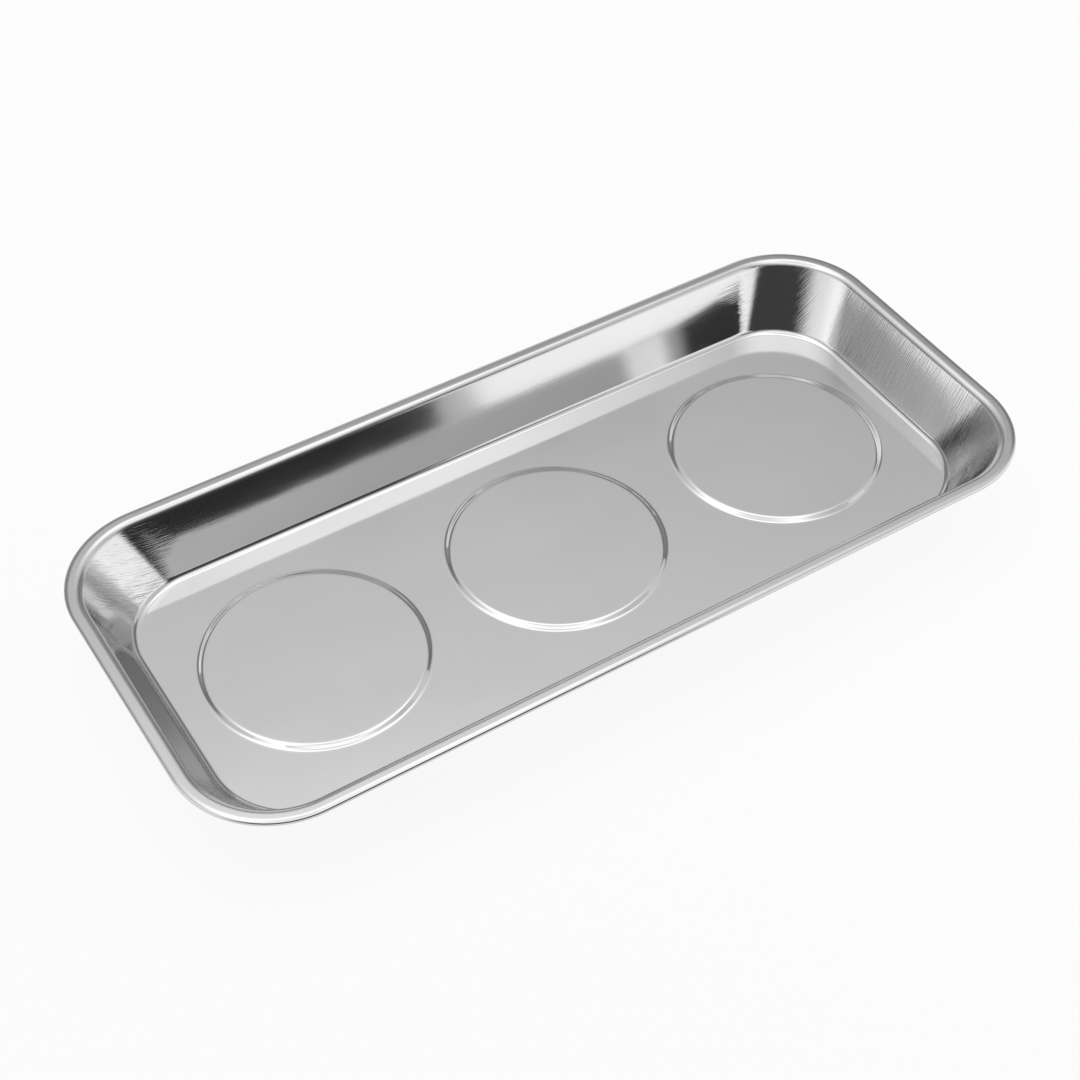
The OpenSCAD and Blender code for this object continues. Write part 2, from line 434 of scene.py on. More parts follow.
for x in pod_x.values():
    middle = Vector((x, 0, floor_z))
    bpy.ops.mesh.select_all(action="DESELECT")
    bpy.ops.mesh.select_mode(type="EDGE")
    bpy.ops.mesh.primitive_circle_add(
        vertices=DISC_STEPS, radius=DISC_FOOT + FLAT_RING, location=middle)
    draw_in(DISC_FOOT + FLAT_RING, DISC_FOOT, 0, middle)
    draw_in(DISC_FOOT, DISC_TOP, DISC_RISE, middle)
    draw_in(DISC_TOP, DISC_TOP - FLAT_RING, 0, middle)
    bpy.ops.mesh.edge_face_add()
bpy.ops.mesh.select_all(action="SELECT")
bpy.ops.mesh.normals_make_consistent(inside=False)
print("discs:", pick("FACE", lambda face: lies_flat(face, disc_z)), "flat faces")

# %% [markdown]
# The step's two fold lines are bevelled like the others, and the fill tool closes the floor between
# the outline and the three circles. An open sheet has no inside, so it may come out face down, and
# then it is flipped.

# %% Soft steps and the floor between them
DISC_BEND = 2.6 * MM
DISC_FOLD_STEPS = 8
PAN_MERGE = 0.001 * MM

step_turn = math.atan2(DISC_RISE, DISC_FOOT - DISC_TOP)


def on_disc(edge, radius, height):
    """True for an edge of a circle of this radius round one of the discs."""
    return level(edge, height) and any(
        all(near(math.hypot(vert.co.x - x, vert.co.y), radius) for vert in edge.verts)
        for x in pod_x.values())


for name, radius, height in (("disc foot", DISC_FOOT, floor_z), ("disc top", DISC_TOP, disc_z)):
    round_fold(
        name, lambda edge: on_disc(edge, radius, height), DISC_BEND, step_turn, DISC_FOLD_STEPS)
pick("EDGE", lambda edge: is_open(edge) and level(edge, floor_z))
bpy.ops.mesh.fill()
merge_points(PAN_MERGE)
if not pick("FACE", lambda face: lies_flat(face, floor_z)):
    bpy.ops.mesh.select_all(action="SELECT")
    bpy.ops.mesh.flip_normals()
print("open edges:", pick("EDGE", is_open))

# %% [markdown]
# Last comes the thickness of the sheet. Solidify adds it underneath, so the drawn surface stays the
# upper one.

# %% Sheet thickness
apply_modifier(pan, "SOLIDIFY", {
    "thickness": SHEET, "offset": -1, "use_even_offset": True, "use_quality_normals": True})
shade()
print("pan:", len(pan.data.polygons), "faces")

# %% [markdown]
# ## Polished stainless steel
# The sheet is bright-rolled and then drawn in the press. To the eye the floor is a clean, slightly
# soft mirror: neutral grey, with hair-fine rolling lines along the tray and a very gentle waviness.
# Where the press stretched the sheet, on the walls and most of all in the corners, the rolling lines
# opened up, and they comb the edges of whatever the steel reflects. They still run along the tray's
# length, so they go down the slope of the short walls and slantwise round the corners.
#
# The lines follow the sheet over its folds. So the pan gets a UV map of the flat blank, in
# millimetres: each point's place, moved outwards by the extra length that the wall's slope takes up.

# %% Map of the flat blank
slope_length = math.hypot(WALL_LEAN, wall_height)
stretch = (slope_length - WALL_LEAN) / wall_height
core_half = floor_half - Vector((FLOOR_CORNER, FLOOR_CORNER))


def core_place(point):
    """The closest spot to a point in the rectangle that the corners turn about."""
    return Vector((
        max(-core_half.x, min(core_half.x, point.x)),
        max(-core_half.y, min(core_half.y, point.y)),
    ))


def blank_place(point):
    """Where a point of the pan lay in the flat sheet, in millimetres."""
    outward = point.xy - core_place(point)
    if outward.length < FLOOR_CORNER:
        return point.xy / MM
    climb = max(0, point.z - floor_z) * stretch
    return (point.xy + outward.normalized() * climb) / MM


blank = pan.data.uv_layers.new(name="blank")
for loop in pan.data.loops:
    blank.data[loop.index].uv = blank_place(pan.data.vertices[loop.vertex_index].co)
print("blank map:", len(blank.data), "corners")

# %% [markdown]
# Two numbers are kept at every point. One says how far the press opened the lines: hardly on the
# floor and the rim, a little on the long walls, which fold along the lines, more on the short walls,
# and most in the corners. The other says how dull the point is: open lines take off some gloss, and
# the rim was clamped while the sheet was drawn, so it is the dullest.

# %% Open lines and dull places
FLOOR_SHARE = 0.01
LONG_SHARE = 0.03
SHORT_SHARE = 0.32
BEND_SHARE = 0.12
RIM_SHARE = 0.1
LINE_DULLNESS = 0.02
RIM_DULLNESS = 0.15


def clamp(share):
    """Keeps a share between 0 and 1."""
    return min(1, max(0, share))


def climb_share(point):
    """How far up the wall a point is, from 0 at the floor to 1 at the rim."""
    return (point.z - floor_z) / wall_height


def openness(point):
    """How far the press opened the rolling lines at a point, from 0 to 1."""
    climb = climb_share(point)
    on_wall = clamp(climb / BEND_SHARE) * clamp((1 - climb) / BEND_SHARE)
    outward = point.xy - core_place(point)
    if outward.length < FLOOR_CORNER:
        return FLOOR_SHARE
    facing = outward.normalized()
    wall_share = LONG_SHARE + (SHORT_SHARE - LONG_SHARE) * abs(facing.x)
    corner_share = 2 * abs(facing.x * facing.y)
    return max(FLOOR_SHARE, on_wall * (wall_share + (1 - wall_share) * corner_share))


def dullness(point):
    """How much rougher than the clean sheet a point is."""
    on_rim = clamp(1 - (1 - climb_share(point)) / RIM_SHARE)
    return LINE_DULLNESS * openness(point) + RIM_DULLNESS * on_rim


opened = pan.data.attributes.new("openness", "FLOAT", "POINT")
dulled = pan.data.attributes.new("dullness", "FLOAT", "POINT")
for vert in pan.data.vertices:
    opened.data[vert.index].value = openness(vert.co)
    dulled.data[vert.index].value = dullness(vert.co)
print("points with open lines:", sum(1 for spot in opened.data if spot.value > FLOOR_SHARE))

# %% [markdown]
# The material reads the map and both numbers. Three noises lie on the blank: the rolling lines, long
# and thin, the waves of the rolled sheet, and smears left by handling. The lines and the waves are
# bumps, and the lines and the smears also break up the gloss.
#
# Real rolling lines are about 0.1 mm wide, too fine to show here, so they are drawn at 0.6 mm. These
# lengths are in millimetres, like the map.

# %% Stainless steel
LINE_WIDTH = 0.6
LINE_LENGTH = 20.0
LINE_DEPTH = 0.1 * MM
WAVE_LENGTH = 45.0
WAVE_DEPTH = 0.1 * MM
SMEAR_WIDTH = 30.0
SMEAR_LENGTH = 75.0
STEEL_GLOSSY = 0.045
STEEL_DULL = 0.085

stainless = start_material("polished_stainless_steel")
tree = stainless.node_tree
sheet_place = add_node(tree, "ShaderNodeUVMap", {"uv_map": "blank"})
marks = []
for length, width, detail, roughness in (
        (LINE_LENGTH, LINE_WIDTH, 2.0, 0.6),
        (WAVE_LENGTH, WAVE_LENGTH, 1.0, 0.5),
        (SMEAR_LENGTH, SMEAR_WIDTH, 4.0, 0.5)):
    place = add_node(tree, "ShaderNodeMapping", {"Scale": (1 / length, 1 / width, 1)}, {
        "Vector": sheet_place.outputs["UV"]})
    noise = add_node(tree, "ShaderNodeTexNoise", {
        "noise_dimensions": "2D", "Scale": 1.0, "Detail": detail, "Roughness": roughness},
        {"Vector": place.outputs["Vector"]})
    marks.append(noise.outputs["Fac"])
lines, waves, smears = marks
opening = add_node(tree, "ShaderNodeAttribute", {"attribute_name": "openness"})
dulling = add_node(tree, "ShaderNodeAttribute", {"attribute_name": "dullness"})
gloss_noise = add_node(tree, "ShaderNodeMath", {"operation": "ADD"}, {0: lines, 1: smears})
gloss = add_node(tree, "ShaderNodeMapRange", {
    "From Min": 0.6, "From Max": 1.4, "To Min": STEEL_GLOSSY, "To Max": STEEL_DULL},
    {"Value": gloss_noise.outputs["Value"]})
sheet_gloss = add_node(tree, "ShaderNodeMath", {"operation": "ADD"}, {
    0: gloss.outputs["Result"], 1: dulling.outputs["Fac"]})
line_bump = add_node(tree, "ShaderNodeBump", {"Distance": LINE_DEPTH}, {
    "Strength": opening.outputs["Fac"], "Height": lines})
wave_bump = add_node(tree, "ShaderNodeBump", {"Distance": WAVE_DEPTH}, {
    "Height": waves, "Normal": line_bump.outputs["Normal"]})
tone = add_node(tree, "ShaderNodeMix", {
    "data_type": "RGBA", FIRST_COLOUR: srgb("#CACACA"), SECOND_COLOUR: srgb("#D1D1D1")},
    {MIX_SHARE: smears})
metal = add_node(tree, "ShaderNodeBsdfPrincipled", {"Metallic": 1.0}, {
    "Base Color": tone.outputs[MIXED_COLOUR],
    "Roughness": sheet_gloss.outputs["Value"],
    "Normal": wave_bump.outputs["Normal"]})
add_node(tree, "ShaderNodeOutputMaterial", None, {"Surface": metal.outputs["BSDF"]})
print("stainless nodes:", len(tree.nodes))

# %% [markdown]
# Each finished piece is tied to the frame: it rides on a body, it stands for a CAD node, and its
# finish gets a name of its own. Nothing on the tray moves, so every piece rides on the root.

# %% The pan rides on the frame


def dress(piece, material, slot, *nodes):
    """Gives a piece its material, and lets it stand for CAD nodes."""
    piece.data.materials.clear()
    piece.data.materials.append(material)
    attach(piece, "root")
    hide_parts(*nodes)


dress(pan, stainless, "stainless_steel", "tray_pan")
print("dressed", pan.name)

# %% [markdown]
# ## The magnet pods
# Under each disc, from the outside in: a moulded rubber boot, a pressed steel cup, a ferrite ring
# magnet, and in the magnet's bore a nut with two washers on a stud that is welded to the pan. All
# but the nut and the stud are round in section, so each is drawn as half a section and spun round
# the pod's axis. The section is a flat face first, because a bevel of its points rounds the corners
# exactly.

# %% Turned pieces
ROUND_STEPS = 96
SMALL_ROUND_STEPS = 64
POD_AXIS = (0, 0, 1)
POD_MIDDLE = (0, 0, 0)
# Steps in a rounded corner, from a wide one down to a chamfer
WIDE_STEPS = 6
MEDIUM_STEPS = 4
NARROW_STEPS = 3
FINE_STEPS = 2
CHAMFER_STEPS = 1


def draw_points(name, points):
    """Draws a chain of edges point by point, as (radius, height) in metres."""
    deselect_all()
    bpy.ops.mesh.primitive_plane_add(size=MM, enter_editmode=True)
    piece = bpy.context.object
    piece.name = name
    bpy.ops.mesh.select_mode(type="VERT")
    bpy.ops.mesh.merge(type="CENTER")
    bpy.ops.mesh.select_all(action="SELECT")
    bpy.ops.transform.translate(value=(points[0][0], 0, points[0][1]))
    for before, after in zip(points, points[1:]):
        step = (after[0] - before[0], 0, after[1] - before[1])
        bpy.ops.mesh.extrude_vertices_move(TRANSFORM_OT_translate={"value": step})
    bpy.ops.mesh.select_all(action="SELECT")
    return piece


def draw_section(name, points):
    """Draws a closed half section and fills it."""
    piece = draw_points(name, points)
    bpy.ops.mesh.edge_face_add()
    return piece


def ring_section(inside, outside, low, high):
    """The four points of a plain ring's half section, from low inside to high inside."""
    return [(inside, low), (outside, low), (outside, high), (inside, high)]


def round_corners(radius, steps, spots):
    """Rounds the section's corners at these spots."""
    pick("VERT", lambda vert: any(
        near(vert.co.x, spot[0]) and near(vert.co.z, spot[1]) for spot in spots))
    bpy.ops.mesh.bevel(offset=radius, segments=steps, affect="VERTICES")


def turn_about_axis(angle):
    """Turns what is selected about the pod's axis."""
    bpy.ops.transform.rotate(value=angle, orient_axis="Z", center_override=POD_MIDDLE)


def spin_section(steps=ROUND_STEPS):
    """Spins the section into a closed turned piece."""
    bpy.ops.mesh.select_all(action="SELECT")
    bpy.ops.mesh.delete(type="ONLY_FACE")
    bpy.ops.mesh.select_all(action="SELECT")
    bpy.ops.mesh.spin(steps=steps, angle=2 * math.pi, center=POD_MIDDLE, axis=POD_AXIS)
    merge_points()
    shade()


# %% [markdown]
# A pod is modelled once, in the middle of the tray, and its pieces are copied to all three places.

# %% Copies for the three pods


def fit_pods(piece, part, node, material, slot):
    """Copies a piece to the three pods, each copy with its own mesh."""
    for side in SIDES:
        activate(piece)
        bpy.ops.object.duplicate(linked=False)
        copy = bpy.context.object
        copy.name = side + "_" + part
        edit(copy)
        bpy.ops.mesh.select_all(action="SELECT")
        bpy.ops.transform.translate(value=(pod_x[side], 0, 0))
        bpy.ops.object.mode_set(mode="OBJECT")
        dress(copy, material, slot, side + "_" + node)
    bpy.data.objects.remove(piece)
    print(part, "fitted to", len(SIDES), "pods")


# %% [markdown]
# ### Rubber boot
# The boot is the foot that the tray stands on. It is a soft ring with a lip that snaps over the top
# edge of the cup, an open middle for the nut, and three grooves in the sole that keep it from
# sliding. The mould left a fine parting line round its side.

# %% Boot
SOLE = 1.2 * MM
BOOT_WALL = 2.4 * MM
BOOT_WINDOW = 13.0 * MM
BOOT_LIP = 8.0 * MM
BOOT_FOOT_ROUND = 1.0 * MM
BOOT_TOP_ROUND = 0.6 * MM
BOOT_RIM_ROUND = 0.3 * MM
GROOVE_RADII = (19.7 * MM, 26.4 * MM, 33.1 * MM)
GROOVE_HALF = 0.7 * MM
GROOVE_DEPTH = 0.5 * MM
GROOVE_ROUND = 0.15 * MM
PARTING_RIDGE = 0.12 * MM

cup_low, cup_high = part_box("centre_pole_cup")
boot_radius = boot_high.x
bore = boot_radius - BOOT_WALL
lip_edge = boot_radius - BOOT_LIP
mid_z = boot_high.z / 2
grooves = []
for radius in GROOVE_RADII:
    grooves += [(radius - GROOVE_HALF, 0), (radius - GROOVE_HALF, GROOVE_DEPTH)]
    grooves += [(radius + GROOVE_HALF, GROOVE_DEPTH), (radius + GROOVE_HALF, 0)]
parting = [
    (boot_radius, mid_z - 2 * PARTING_RIDGE),
    (boot_radius + PARTING_RIDGE, mid_z),
    (boot_radius, mid_z + 2 * PARTING_RIDGE),
]
foot_edge = (boot_radius, 0)
top_edge = (boot_radius, boot_high.z)
lip_rim = [(lip_edge, boot_high.z), (lip_edge, cup_high.z)]
window_rim = [(BOOT_WINDOW, SOLE), (BOOT_WINDOW, 0)]
boot = draw_section("boot", [
    *grooves, foot_edge, *parting, top_edge, *lip_rim,
    (bore, cup_high.z), (bore, SOLE), *window_rim])
round_corners(BOOT_FOOT_ROUND, WIDE_STEPS, [foot_edge])
round_corners(BOOT_TOP_ROUND, MEDIUM_STEPS, [top_edge])
round_corners(BOOT_RIM_ROUND, NARROW_STEPS, [*lip_rim, *window_rim])
round_corners(GROOVE_ROUND, FINE_STEPS, grooves)
spin_section()
print("boot:", len(boot.data.polygons), "faces")

# %% [markdown]
# Moulded rubber is a deep warm black that never quite goes shiny. A close look shows a fine pebble
# from the eroded mould, and a grey bloom where the rubber has aged. The real pebble is about
# 0.15 mm, too fine to show, so it is drawn at 0.5 mm.

# %% Moulded rubber
PEBBLE = 0.5 * MM
PEBBLE_DEPTH = 0.03 * MM
BLOOM = 9.0 * MM
RUBBER_GLOSSY = 0.5
RUBBER_DULL = 0.75

rubber = start_material("moulded_black_rubber")
tree = rubber.node_tree
spot = add_node(tree, "ShaderNodeTexCoord").outputs["Object"]
pebble = add_node(tree, "ShaderNodeTexVoronoi", {"Scale": 1 / PEBBLE, "feature": "SMOOTH_F1"}, {
    "Vector": spot})
bloom = add_node(tree, "ShaderNodeTexNoise", {
    "Scale": 1 / BLOOM, "Detail": 5.0, "Roughness": 0.6}, {"Vector": spot})
bloom_share = add_node(tree, "ShaderNodeMapRange", {"From Min": 0.4, "From Max": 0.75}, {
    "Value": bloom.outputs["Fac"]})
bloom_gloss = add_node(tree, "ShaderNodeMapRange", {
    "To Min": RUBBER_GLOSSY, "To Max": RUBBER_DULL}, {"Value": bloom_share.outputs["Result"]})
grip = add_node(tree, "ShaderNodeBump", {"Distance": PEBBLE_DEPTH, "Strength": 0.6}, {
    "Height": pebble.outputs["Distance"]})
black = add_node(tree, "ShaderNodeMix", {
    "data_type": "RGBA", FIRST_COLOUR: srgb("#1C1B1B"), SECOND_COLOUR: srgb("#323130")},
    {MIX_SHARE: bloom_share.outputs["Result"]})
skin = add_node(tree, "ShaderNodeBsdfPrincipled", {"IOR": 1.52}, {
    "Base Color": black.outputs[MIXED_COLOUR],
    "Roughness": bloom_gloss.outputs["Result"],
    "Normal": grip.outputs["Normal"]})
add_node(tree, "ShaderNodeOutputMaterial", None, {"Surface": skin.outputs["BSDF"]})
fit_pods(boot, "boot", "rubber_boot", rubber, "black_rubber")

# %% [markdown]
# ### Plated and bare steels
# The small steel pieces differ only in their plating: bright zinc on the cup, the nut and the flat
# washer, a dark phosphate on the spring washer, plain bright steel on the stud. All of them were
# tumbled or pressed, so their gloss is clouded and their faces are never quite flat. One function
# makes these finishes, from two colours, two roughness values and the size of the clouds.

# %% Plated steel
DENT = 1.6 * MM
DENT_DEPTH = 0.02 * MM


def plated_steel(name, dark, light, glossy, dull, cloud):
    """A tumbled or pressed steel finish with clouds of this size."""
    steel = start_material(name)
    tree = steel.node_tree
    spot = add_node(tree, "ShaderNodeTexCoord").outputs["Object"]
    clouds = add_node(tree, "ShaderNodeTexNoise", {"Scale": 1 / cloud, "Detail": 4.0}, {
        "Vector": spot})
    spangle = add_node(tree, "ShaderNodeMapRange", {"From Min": 0.3, "From Max": 0.7}, {
        "Value": clouds.outputs["Fac"]})
    sheen = add_node(tree, "ShaderNodeMapRange", {"To Min": dull, "To Max": glossy}, {
        "Value": spangle.outputs["Result"]})
    dents = add_node(tree, "ShaderNodeTexNoise", {"Scale": 1 / DENT, "Detail": 2.0}, {
        "Vector": spot})
    uneven = add_node(tree, "ShaderNodeBump", {"Distance": DENT_DEPTH}, {
        "Height": dents.outputs["Fac"]})
    plating = add_node(tree, "ShaderNodeMix", {
        "data_type": "RGBA", FIRST_COLOUR: srgb(dark), SECOND_COLOUR: srgb(light)},
        {MIX_SHARE: spangle.outputs["Result"]})
    face = add_node(tree, "ShaderNodeBsdfPrincipled", {"Metallic": 1.0}, {
        "Base Color": plating.outputs[MIXED_COLOUR],
        "Roughness": sheen.outputs["Result"],
        "Normal": uneven.outputs["Normal"]})
    add_node(tree, "ShaderNodeOutputMaterial", None, {"Surface": face.outputs["BSDF"]})
    return steel


zinc_cup = plated_steel(
    "zinc_plated_pressing", "#A9AEB4", "#C3C7CB", glossy=0.28, dull=0.42, cloud=6 * MM)
zinc_nut = plated_steel(
    "zinc_plated_nut", "#AEB2B6", "#CACDD0", glossy=0.24, dull=0.36, cloud=2.5 * MM)
zinc_washer = plated_steel(
    "zinc_plated_washer", "#B4B7BA", "#CFD1D3", glossy=0.22, dull=0.34, cloud=3 * MM)
phosphate_spring = plated_steel(
    "phosphated_spring_steel", "#4A4B4E", "#6B6C6F", glossy=0.38, dull=0.55, cloud=2 * MM)
bright_stud = plated_steel(
    "bright_stud_steel", "#9C9C9A", "#BDBCB9", glossy=0.25, dull=0.4, cloud=2 * MM)
print("materials:", len(bpy.data.materials))

# %% [markdown]
# ### Pole cup
# A shallow cup, deep drawn from thick sheet, with a rounded outer corner and a hole for the stud. It
# gathers the magnet's field and sends it out at its rim.

# %% Cup
CUP_WALL = 1.8 * MM
CUP_BASE = 2.0 * MM
CUP_HOLE = 3.05 * MM
CUP_ROUND = 1.2 * MM
CUP_EDGE_ROUND = 0.3 * MM

cup_radius = cup_high.x
cup_inside = cup_radius - CUP_WALL
base_z = cup_high.z - CUP_BASE
cup_edge = [(cup_inside, cup_low.z), (cup_radius, cup_low.z)]
cup = draw_section("cup", [
    (CUP_HOLE, base_z), (cup_inside, base_z), *cup_edge,
    (cup_radius, cup_high.z), (CUP_HOLE, cup_high.z)])
round_corners(CUP_ROUND, WIDE_STEPS, [(cup_radius, cup_high.z)])
round_corners(CUP_EDGE_ROUND, NARROW_STEPS, [*cup_edge, (CUP_HOLE, base_z)])
spin_section()
fit_pods(cup, "cup", "pole_cup", zinc_cup, "zinc_plated_steel")

# %% [markdown]
# ### Ring magnet
# Ferrite is a ceramic: charcoal grey and matt, with chamfered edges that chip easily and a pole face
# that was ground flat, which leaves straight lines across it.

# %% Magnet
MAGNET_BORE = 16.0 * MM
MAGNET_CHAMFER = 0.6 * MM
MAGNET_EDGE_ROUND = 0.12 * MM

magnet_low, magnet_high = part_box("centre_ring_magnet")
magnet_edges = ring_section(MAGNET_BORE, magnet_high.x, magnet_low.z, magnet_high.z)
magnet = draw_section("magnet", magnet_edges)
round_corners(MAGNET_CHAMFER, CHAMFER_STEPS, magnet_edges)
bpy.ops.mesh.select_all(action="SELECT")
bpy.ops.mesh.bevel(offset=MAGNET_EDGE_ROUND, segments=FINE_STEPS, affect="VERTICES")
spin_section()
print("magnet:", len(magnet.data.polygons), "faces")

# %% [markdown]
# Grinding lines of 0.05 mm are drawn 0.4 mm wide, so that they show. They lie askew, as the ring
# happened to lie under the wheel. The grains of the ceramic make a fine speckle.

# %% Ground ferrite
GRIND_WIDTH = 0.4 * MM
GRIND_LENGTH = 25 * MM
GRIND_DEPTH = 0.008 * MM
GRIND_TURN = math.radians(24)
GRIT = 1.1 * MM
FERRITE_GLOSSY = 0.42
FERRITE_DULL = 0.62

ferrite = start_material("ground_ferrite")
tree = ferrite.node_tree
spot = add_node(tree, "ShaderNodeTexCoord").outputs["Object"]
grind_map = add_node(tree, "ShaderNodeMapping", {
    "Rotation": (0, 0, GRIND_TURN),
    "Scale": (1 / GRIND_LENGTH, 1 / GRIND_WIDTH, 1 / GRIND_WIDTH)}, {"Vector": spot})
grind = add_node(tree, "ShaderNodeTexNoise", {"Scale": 1.0, "Detail": 2.0}, {
    "Vector": grind_map.outputs["Vector"]})
grit = add_node(tree, "ShaderNodeTexNoise", {
    "Scale": 1 / GRIT, "Detail": 6.0, "Roughness": 0.7}, {"Vector": spot})
speckle = add_node(tree, "ShaderNodeMapRange", {"From Min": 0.35, "From Max": 0.7}, {
    "Value": grit.outputs["Fac"]})
matt = add_node(tree, "ShaderNodeMapRange", {
    "From Min": 0.3, "From Max": 0.7, "To Min": FERRITE_GLOSSY, "To Max": FERRITE_DULL},
    {"Value": grind.outputs["Fac"]})
scored = add_node(tree, "ShaderNodeBump", {"Distance": GRIND_DEPTH}, {
    "Height": grind.outputs["Fac"]})
charcoal = add_node(tree, "ShaderNodeMix", {
    "data_type": "RGBA", FIRST_COLOUR: srgb("#343336"), SECOND_COLOUR: srgb("#525155")},
    {MIX_SHARE: speckle.outputs["Result"]})
ceramic = add_node(tree, "ShaderNodeBsdfPrincipled", {"IOR": 2.0}, {
    "Base Color": charcoal.outputs[MIXED_COLOUR],
    "Roughness": matt.outputs["Result"],
    "Normal": scored.outputs["Normal"]})
add_node(tree, "ShaderNodeOutputMaterial", None, {"Surface": ceramic.outputs["BSDF"]})
fit_pods(magnet, "magnet", "ring_magnet", ferrite, "ferrite")

# %% [markdown]
# ### Washers
# The flat washer is punched from sheet, so the edges of one face are rounded by the punch and those
# of the other are almost sharp.

# %% Flat washer
WASHER_HOLE = 2.65 * MM
PUNCHED_ROUND = 0.3 * MM
SHARP_ROUND = 0.08 * MM

washer_low, washer_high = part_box("centre_flat_washer")
washer_edges = ring_section(WASHER_HOLE, washer_high.x, washer_low.z, washer_high.z)
washer = draw_section("washer", washer_edges)
round_corners(PUNCHED_ROUND, MEDIUM_STEPS, washer_edges[:2])
round_corners(SHARP_ROUND, FINE_STEPS, washer_edges[2:])
spin_section(SMALL_ROUND_STEPS)
fit_pods(washer, "washer", "flat_washer", zinc_washer, "washer_steel")

# %% [markdown]
# The spring washer is a length of square wire, wound once and cut at a slant. Its filled section is
# spun a little less than a full turn. Then the upper half of each cut end is turned one way and the
# lower half the other way, for the slant.

# %% Spring washer
SPLIT = math.radians(12)
SLANT = math.radians(7)
WIRE_ROUND = 0.15 * MM

spring_low, spring_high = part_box("centre_spring_washer")
spring_radius = (spring_high.x - spring_low.x) / 2
spring_mid = (spring_low.z + spring_high.z) / 2
spring_edges = ring_section(WASHER_HOLE, spring_radius, spring_low.z, spring_high.z)
spring = draw_section("spring", spring_edges)
round_corners(WIRE_ROUND, NARROW_STEPS, spring_edges)
bpy.ops.mesh.select_all(action="SELECT")
turn_about_axis(SPLIT / 2)
bpy.ops.mesh.spin(
    steps=SMALL_ROUND_STEPS, angle=2 * math.pi - SPLIT, center=POD_MIDDLE, axis=POD_AXIS)


def at_cut(vert, upper):
    """True for a point of either cut end, in its upper or its lower half."""
    turn = abs(math.atan2(vert.co.y, vert.co.x))
    return near(turn, SPLIT / 2, SPLIT / 8) and (vert.co.z > spring_mid) == upper


for upper, slant_turn in ((True, SLANT / 2), (False, -SLANT / 2)):
    print("cut points:", pick("VERT", lambda vert: at_cut(vert, upper)))
    turn_about_axis(slant_turn)
merge_points()
print("open edges of the spring washer:", pick("EDGE", is_open))
shade()
fit_pods(spring, "spring", "spring_washer", phosphate_spring, "spring_steel")

# %% [markdown]
# ### Weld stud
# A stud with a flange that is welded to the disc from below. Its thread is a true helix: a round
# section that sits a little off the axis is carried up the axis while it turns, which is how a
# screw modifier works, and that offset becomes the depth of the thread. The thread's lower end is
# then drawn in to a blunt tip, and its upper end is spread into the flange.

# %% Stud
THREAD_RADIUS = 2.45 * MM
THREAD_DEPTH = 0.46 * MM
THREAD_SIDES = 28
PITCH = 0.8 * MM
TURNS = 11
TURN_STEPS = 18
TIP_SHARE = 0.72
FLANGE = 1.0 * MM
FLANGE_ROUND = 0.2 * MM
FLANGE_ROOM = 0.05 * MM
STUD_SMOOTH_ANGLE = math.radians(60)

stud_low, stud_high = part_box("centre_weld_stud")
thread_top = stud_high.z - FLANGE
thread_low = thread_top - TURNS * PITCH
offset = THREAD_DEPTH / 2
core = THREAD_RADIUS - offset
wide = stud_high.x / core


def on_flange(edge):
    """True for the flange's two round edges."""
    return (level(edge, thread_top) or level(edge, stud_high.z)) and all(
        near(vert.co.xy.length, stud_high.x, FLANGE_ROOM) for vert in edge.verts)


deselect_all()
bpy.ops.mesh.primitive_circle_add(vertices=THREAD_SIDES, radius=core, enter_editmode=True)
stud = bpy.context.object
stud.name = "stud"
bpy.ops.transform.translate(value=(offset, 0, thread_low))
apply_modifier(stud, "SCREW", {
    "angle": 2 * math.pi, "screw_offset": PITCH, "iterations": TURNS, "steps": TURN_STEPS,
    "render_steps": TURN_STEPS, "use_smooth_shade": True})
edit(stud)
pick("EDGE", lambda edge: is_open(edge) and level(edge, thread_low))
extrude_up(stud_low.z - thread_low)
bpy.ops.transform.resize(value=(TIP_SHARE, TIP_SHARE, 1), center_override=POD_MIDDLE)
bpy.ops.mesh.edge_face_add()
pick("EDGE", lambda edge: is_open(edge) and level(edge, thread_top))
extrude_up(0)
bpy.ops.transform.resize(value=(wide, wide, 1), center_override=(offset, 0, 0))
bpy.ops.transform.translate(value=(-offset, 0, 0))
extrude_up(FLANGE)
bpy.ops.mesh.edge_face_add()
pick("EDGE", on_flange)
bpy.ops.mesh.bevel(offset=FLANGE_ROUND, segments=NARROW_STEPS, affect="EDGES")
merge_points()
print("open edges of the stud:", pick("EDGE", is_open))
shade(STUD_SMOOTH_ANGLE)
fit_pods(stud, "stud", "weld_stud", bright_stud, "stud_steel")

# %% [markdown]
# ### Hex nut
# The nut is a six-sided bar, and a turned shape takes its corners off at thirty degrees. In the shop
# that is one cut on a lathe, and here it is a boolean with a turned body: what both share stays.
# A second turned body cuts the bore with its countersinks. The first is wider than the bar's corners
# and the second is longer than the bar, so that each cut goes right through.

# %% Cutters for the nut
NUT_CHAMFER = math.radians(30)
NUT_BORE = 2.3 * MM
CROWN_SHARE = 0.97
CROWN_STEPS = 72
CROWN_REACH = 0.2 * MM
BORE_STEPS = 48
SINK_DEPTH = 0.4 * MM
SINK_WIDTH = 1.4 * MM
SINK_REACH = 1.0 * MM

